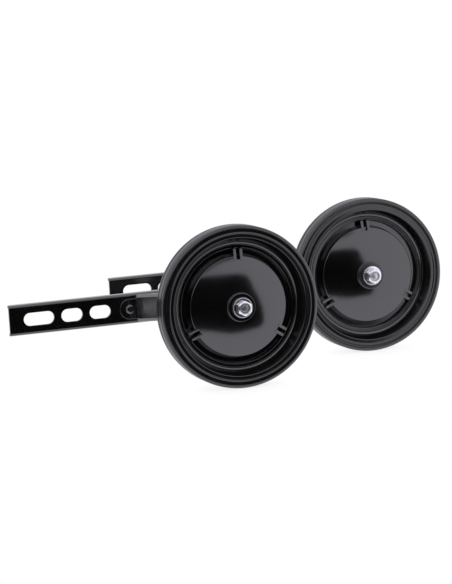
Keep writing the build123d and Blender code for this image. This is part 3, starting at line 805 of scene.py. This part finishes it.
def brace_shape():
    """Brace as a folded sheet: round tongue, sloping channel and round pad with the axle hole."""
    bm = bmesh.new()
    slope = math.atan2(PAD_OUT, PAD_X - FOLD_X)
    lead = BRACE_SHEET * math.tan(slope / 2)
    low_x, low_y = FOLD_X - lead, -BRACE_SHEET
    high_x, high_y = PAD_X - lead, -PAD_OUT - BRACE_SHEET
    pad_r = BRACE_WIDTH / 2
    run = math.sqrt(pad_r**2 - TONGUE_HALF**2)
    sweep = 2 * math.pi - 2 * math.asin(TONGUE_HALF / pad_r)

    first = bm.verts.new((low_x, low_y, -TONGUE_HALF))
    tip = step(bm, first, (BOLT_X, low_y, -TONGUE_HALF))
    tip = swing(bm, tip, (BOLT_X, low_y, 0), AXLE_LINE, math.pi, 20)
    last = step(bm, tip, (low_x, low_y, TONGUE_HALF))
    bm.edges.new((last, first))
    bmesh.ops.triangle_fill(bm, use_beauty=True, edges=bm.edges[:], normal=(0, -1, 0))

    web = bmesh.ops.extrude_edge_only(bm, edges=[bm.edges.get((last, first))])
    ends = points_in(web["geom"])
    bmesh.ops.translate(bm, vec=(high_x - low_x, high_y - low_y, 0), verts=ends)
    top, bottom = sorted(ends, key=lambda v: -v.co.z)
    before = set(bm.edges)
    tip = step(bm, bottom, (AXLE_X - run, high_y, -TONGUE_HALF))
    tip = swing(bm, tip, (AXLE_X, high_y, 0), AXLE_LINE, -sweep, 40)
    bm.edges.new((tip, top))
    cut_hole(bm, (AXLE_X, high_y, 0), AXLE_HOLE)
    pad = [e for e in bm.edges if e not in before] + [bm.edges.get((top, bottom))]
    bmesh.ops.triangle_fill(bm, use_beauty=True, edges=pad, normal=(0, -1, 0))

    for corner_x, radius in ((low_x, FOLD_RADIUS), (high_x, FOLD_RADIUS + BRACE_SHEET)):
        crease = [e for e in bm.edges if all(abs(v.co.x - corner_x) < 1e-3 for v in e.verts)]
        soften(bm, crease, radius * math.tan(slope / 2), 5)
    span = (low_x + 0.3, high_x - 0.3)
    for side in (-1, 1):
        fold(bm, side, TONGUE_HALF, BRACE_BEND, BRACE_DEPTH, span, (low_x, low_y, 0), slope)
    trim(bm, (0, -ARM_GAP, 0), (0, 1, 0), closed=False)
    face_outwards(bm)
    return bm


def build_unit(unit):
    """One training wheel: every piece stands in its own solid's place."""
    arm_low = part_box(f"{unit}_arm")[0]
    centre = wheel_middle(unit) / MM
    face_y = arm_low[1] / MM
    start = Vector((arm_low[0] / MM, face_y, 0))
    axle = Vector((centre.x, face_y, 0))
    shift = Vector((centre.x - AXLE_X, face_y, 0))
    wheel = Vector((centre.x, face_y - WHEEL_OUT, 0))
    bolt = shift + Vector((BOLT_X, 0, 0))

    def still(shape, piece, place, slot, node, **more):
        hand_over(shape, f"{unit}_{piece}", place, slot, "arms", f"{unit}_{node}", **more)

    def rolling(shape, piece, slot, node, **more):
        hand_over(shape, f"{unit}_{piece}", wheel, slot, f"{unit}_wheel", f"{unit}_{node}", **more)

    small_nut = plain_nut_shape(-ARM_SHEET - BOLT_NUT, BOLT_NUT, BOLT_NUT_FLATS, BOLT_NUT_BORE)
    thin_nut = plain_nut_shape(CLAMP_OUT, CLAMP_NUT, AXLE_FLATS, CLAMP_BORE)
    spacer = tube_shape(0, PAD_OUT, SPACER_R, AXLE_HOLE)
    washer = tube_shape(WASHER_OUT, WASHER, WASHER_R, AXLE_HOLE, 0.2)
    sleeve = tube_shape(SLEEVE_OUT, NUT_OUT - SLEEVE_OUT, SLEEVE_R, SLEEVE_BORE, 0.2)
    still(arm_shape(), "channel_arm", start, "arm_paint", "arm", sheet=ARM_SHEET, edge=0.14)
    still(brace_shape(), "folded_brace", shift, "brace_paint", "brace", sheet=BRACE_SHEET, edge=0.2)
    still(brace_bolt_shape(), "domed_bolt", bolt, "black_steel", "brace_bolt")
    still(small_nut, "small_nut", bolt, "zinc_steel", "brace_nut")
    still(axle_bolt_shape(), "axle_screw", axle, "zinc_steel", "axle_bolt")
    still(spacer, "spacer_tube", axle, "plain_steel", "spacer")
    still(thin_nut, "thin_nut", axle, "zinc_steel", "clamp_nut")
    still(washer, "thrust_washer", axle, "plain_steel", "washer")
    still(sleeve, "bearing_sleeve", axle, "plain_steel", "sleeve")
    still(flange_nut_shape(), "outer_nut", axle, "bright_zinc", "flange_nut")
    rolling(bush_shape(-1), "back_bush", "bush_plastic", "inner_bush")
    rolling(bush_shape(1), "front_bush", "bush_plastic", "outer_bush")
    rolling(disc_shape(WHEEL_TURN[unit]), "moulded_disc", "disc_plastic", "wheel_disc", sharp=40)
    rolling(tyre_shape(), "rubber_tyre", "tyre_rubber", "tyre", sharp=40)
    return wheel


def rectangle(left, right, low, high):
    return (left, low), (right, low), (right, high), (left, high)


# Studio in metres: the light of the tent, and each upright sheet's outline as x and z
TENT = (0.95, 0.92, 1.0, 1)
TENT_MIRRORED, TENT_LIGHT = 1.2, 0.45
FLAG_EDGE, FLAG_TOP, FLAG_FOOT = -0.412, 0.205, -0.25
OPENING = (
    (FLAG_EDGE, FLAG_TOP), (0.05, 0.200), (0.18, 0.197), (0.28, 0.196), (0.35, 0.190), (0.395, 0.172),
    (0.420, 0.128), (0.437, 0.066), (0.490, -0.021), (0.528, -0.108), (0.560, -0.200), (0.568, -0.265),
    (0.545, -0.300), (0.50, -0.310), (0.43, -0.308), (0.31, -0.314), (0.20, -0.308), (0.10, -0.283),
    (0.0, -0.266), (FLAG_EDGE, -0.260))
TOP_FLAG = (
    (-0.15, 0.215), (-0.06, 0.215), (0.0, 0.228), (0.05, 0.255), (0.107, 0.290), (0.20, 0.320),
    (0.317, 0.345), (0.40, 0.40), (0.40, 0.47), (0.28, 0.43), (0.15, 0.39), (0.05, 0.35), (-0.05, 0.29),
    (-0.10, 0.25))
SIDE_FLAG = rectangle(-1.3, FLAG_EDGE, FLAG_FOOT, FLAG_TOP)
FLAG_Y = -0.65
FLAGS = (("dark_opening", OPENING), ("side_flag", SIDE_FLAG), ("top_flag", TOP_FLAG))

# Each card: name, outline, place along y and glow
CARDS = (
    ("paper_wall", rectangle(-1.5, 1.5, -0.5, 0.9), 0.95, 0.9),
    ("dim_card", rectangle(-0.444, -0.402, FLAG_FOOT, FLAG_TOP), FLAG_Y + 0.001, 0.29),
    ("small_card", rectangle(-0.438, -0.430, -0.112, -0.100), FLAG_Y + 0.002, 3.4))

# Floor just below the tyres, its near edge cut off slantwise
GROUND = -0.0602
FLOOR = ((-0.6, -0.443, GROUND), (0.9, 0.252, GROUND), (0.9, 0.9, GROUND), (-0.6, 0.9, GROUND))
SHADOW_NEAR, SHADOW_FAR, SHADOW_SHARE = 0.004, 0.036, 0.22
LAMP_PLACE, LAMP_AIM, LAMP_SIZE, LAMP_GLOW = (0.1, -0.35, 0.9), (0.12, 0.0, 0.0), (1.3, 0.9), 2.0

# Camera: millimetres and degrees from the front wheel, its focal length and picture height in pixels
CAMERA = {
    "yaw": 17.98, "pitch": 7.371, "roll": 3.674, "distance": 1927.0, "across": -8.34, "up": 10.26,
    "focal": 2630.0}
PICTURE_HEIGHT, SENSOR_HEIGHT = 584, 36.0


def panel(name, corners, paint):
    """Flat sheet of the studio through its corners."""
    bm = bmesh.new()
    bm.faces.new([bm.verts.new(corner) for corner in corners])
    bmesh.ops.triangulate(bm, faces=bm.faces[:])
    mesh = bpy.data.meshes.new(name)
    bm.to_mesh(mesh)
    bm.free()
    mesh.materials.append(paint)
    sheet = bpy.data.objects.new(name, mesh)
    bpy.context.scene.collection.objects.link(sheet)
    return sheet


def floor_paint(feet):
    """White paper: plain white to the camera, with the shadow showing round the two feet."""
    paint = Paint("white_paper")
    near = 0
    for foot in feet:
        away = paint.distance(paint.coords(), foot)
        near = paint.ramp(away, (SHADOW_NEAR, SHADOW_SHARE), (SHADOW_FAR, 0.0)).over(near)
    white = paint.add("ShaderNodeEmission", None, {"Color": grey(1.0), "Strength": 1.0})
    paper = paint.add("ShaderNodeBsdfDiffuse", None, {"Color": grey(0.86)})
    share = paint.ray("Camera") * (1 - near)
    return paint.show(paint.add("ShaderNodeMixShader", None, {0: share, 1: paper, 2: white}))


def card_paint(name, glow):
    """Evenly lit white card of the studio."""
    paint = Paint(name)
    return paint.show(paint.add("ShaderNodeEmission", None, {"Color": TENT, "Strength": glow}))


def flag_paint():
    """Black cloth across the front of the tent, seen only in reflections."""
    paint = Paint("black_flag")
    colour = paint.mix(paint.cloud(40, 2.0), grey(0.0005), grey(0.0015))
    return paint.show(paint.add("ShaderNodeBsdfDiffuse", None, {"Color": colour}))


def tent_light(world):
    """White tent: white to the camera, bright in reflections and dimmer as light on the pieces."""
    tent = Paint("white_tent", world)
    seen = tent.ray("Camera").over(tent.ray("Transmission"))
    dim = tent.add("ShaderNodeBackground", None, {"Color": grey(1.0), "Strength": TENT_LIGHT})
    white = tent.add("ShaderNodeBackground", None, {"Color": grey(1.0), "Strength": 1.0})
    bright = tent.add("ShaderNodeBackground", None, {"Color": TENT, "Strength": TENT_MIRRORED})
    shown = tent.add("ShaderNodeMixShader", None, {0: tent.ray("Glossy"), 1: dim, 2: bright})
    whole = tent.add("ShaderNodeMixShader", None, {0: seen, 1: shown, 2: white})
    return tent.show(whole, "ShaderNodeOutputWorld")


def softbox(name, place, aim, size, radiance):
    """Rectangular lamp that looks at a point; radiance 1 shows as white."""
    lamp = bpy.data.lights.new(name, "AREA")
    lamp.shape = "RECTANGLE"
    lamp.size, lamp.size_y = size
    lamp.energy = radiance * math.pi * size[0] * size[1]
    holder = bpy.data.objects.new(name, lamp)
    look = (Vector(aim) - Vector(place)).to_track_quat("-Z", "Y").to_matrix().to_4x4()
    holder.matrix_world = Matrix.Translation(place) @ look
    holder.visible_camera = False
    holder.visible_glossy = False
    bpy.context.scene.collection.objects.link(holder)


def studio(feet):
    """White tent with black flags and small cards in front, a wall behind, a lamp above, and paper below."""
    scene = bpy.context.scene
    scene.view_settings.view_transform = "Standard"
    scene.world = tent_light(bpy.data.worlds.new("white_tent"))
    floor = panel("paper_floor", FLOOR, floor_paint(feet))
    floor.visible_glossy = False
    sheets = [panel(name, [(x, FLAG_Y, z) for x, z in line], flag_paint()) for name, line in FLAGS]
    for name, line, y, glow in CARDS:
        sheets.append(panel(name, [(x, y, z) for x, z in line], card_paint(name, glow)))
    for sheet in sheets:
        sheet.visible_camera = False
        sheet.visible_diffuse = False
        sheet.visible_shadow = False
    softbox("top_lamp", LAMP_PLACE, LAMP_AIM, LAMP_SIZE, LAMP_GLOW)


def camera_at(centre, yaw, pitch, roll, distance, across, up, focal):
    """Camera that looks at the front wheel from the left and a little above."""
    yaw, pitch, roll = (math.radians(a) for a in (yaw, pitch, roll))
    ahead = Vector((math.sin(yaw), math.cos(yaw), 0)) * math.cos(pitch) + Vector((0, 0, -math.sin(pitch)))
    right = Vector((math.cos(yaw), -math.sin(yaw), 0))
    above = right.cross(ahead)
    side = right * math.cos(roll) - above * math.sin(roll)
    top = right * math.sin(roll) + above * math.cos(roll)
    place = (centre - ahead * distance + side * across + top * up) * MM
    lens = bpy.data.cameras.new("camera")
    lens.sensor_fit = "VERTICAL"
    lens.sensor_height = SENSOR_HEIGHT
    lens.lens = focal * SENSOR_HEIGHT / PICTURE_HEIGHT
    holder = bpy.data.objects.new("camera", lens)
    holder.matrix_world = Matrix((
        (side.x, top.x, -ahead.x, place.x),
        (side.y, top.y, -ahead.y, place.y),
        (side.z, top.z, -ahead.z, place.z),
        (0, 0, 0, 1)))
    bpy.context.scene.collection.objects.link(holder)
    bpy.context.scene.camera = holder


front_wheel = build_unit("front")
rear_wheel = build_unit("rear")
studio([tuple((wheel + Vector((0, 0, -TYRE_R))) * MM) for wheel in (front_wheel, rear_wheel)])
camera_at(front_wheel, **CAMERA)
